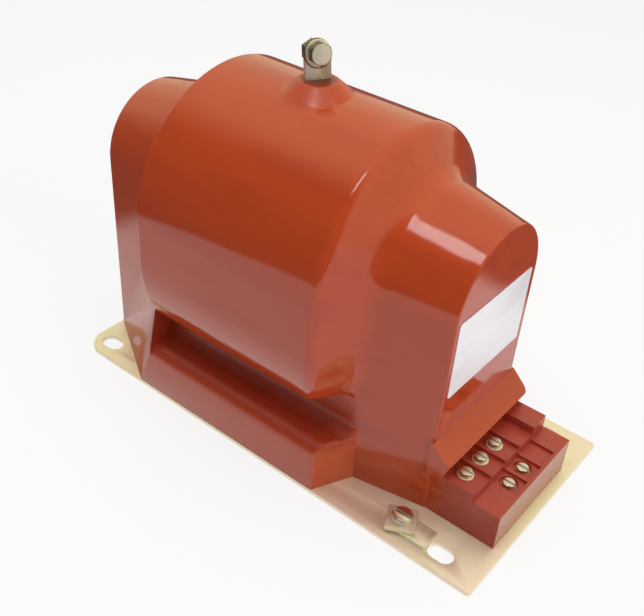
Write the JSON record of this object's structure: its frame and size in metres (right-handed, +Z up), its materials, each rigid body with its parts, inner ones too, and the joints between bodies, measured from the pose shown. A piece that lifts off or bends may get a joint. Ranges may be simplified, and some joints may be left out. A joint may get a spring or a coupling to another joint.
{
  "type": "cast resin voltage transformer",
  "caption": "Cast resin voltage transformer: round coil bulge between core hoods, high-voltage terminal on top, stepped terminal block at one end, slotted steel base plate.",
  "frame": {"origin": "middle of the base plate's underside", "axes": "+X along the length towards the terminal block, +Z up, -Y towards the long side with the earth terminal"},
  "size_m": [0.355, 0.1776, 0.2655],
  "materials": {
    "resin": "glossy cast epoxy, red-brown",
    "passivated_steel": "yellow-passivated zinc, satin",
    "zinc_steel": "zinc plated, satin",
    "label_plate": "white coated, bare",
    "brass": "machined",
    "core_steel": "wound electrical steel strip",
    "band_steel": "plain strap",
    "board": "insulating pressboard",
    "copper_wire": "enamelled copper wire",
    "shield_foil": "foil",
    "lead_sleeve": "sleeved wire"
  },
  "bodies": {
    "root": {"band_buckle": "band_steel", "barrier_tube": "board", "base_inserts": "brass", "base_plate": "passivated_steel", "base_screws": "zinc_steel", "core_band": "band_steel", "core_earth_strap": "copper_wire", "core_lower": "core_steel", "core_upper": "core_steel", "earth_lug": "zinc_steel", "earth_screw": "zinc_steel", "earth_washer": "zinc_steel", "hv_lead": "copper_wire", "hv_line_bolt": "zinc_steel", "hv_line_nut": "zinc_steel", "hv_line_spring_washer": "zinc_steel", "hv_line_washer": "zinc_steel", "hv_strap": "zinc_steel", "nameplate": "label_plate", "neutral_lead": "lead_sleeve", "outer_terminal_inserts": "brass", "outer_terminal_screws": "zinc_steel", "primary_shield": "shield_foil", "primary_winding": "copper_wire", "residual_leads": "lead_sleeve", "residual_winding": "copper_wire", "resin_body": "resin", "secondary_leads": "lead_sleeve", "secondary_winding": "copper_wire", "terminal_inserts": "brass", "terminal_screws": "zinc_steel", "terminal_washers": "zinc_steel", "winding_tube": "board"}
  },
  "joints": []
}
